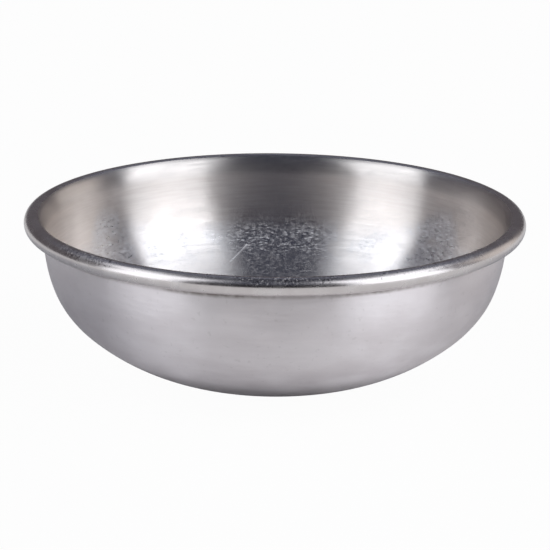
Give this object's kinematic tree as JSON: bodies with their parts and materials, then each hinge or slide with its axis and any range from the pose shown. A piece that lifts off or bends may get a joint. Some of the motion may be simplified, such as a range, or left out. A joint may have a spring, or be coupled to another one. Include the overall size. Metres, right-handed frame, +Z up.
{
  "type": "bowl",
  "caption": "Round, shallow bowl of drawn stainless steel sheet with a small flat foot and a rim rolled outwards over a wire; holds food or small items.",
  "frame": {"origin": "centre of the flat foot, at table level", "axes": "+Z up, along the axis about which the bowl is round, out of its mouth; +X and +Y are any two level directions, with the wire's butt joint on the +Y side"},
  "size_m": [0.16, 0.16, 0.0533],
  "materials": {
    "stainless_sheet": "satin outside, brushed round and worn inside",
    "steel_wire": "bright drawn wire"
  },
  "bodies": {
    "root": {"bowl_shell": "stainless_sheet", "rim_wire": "steel_wire"}
  },
  "joints": []
}
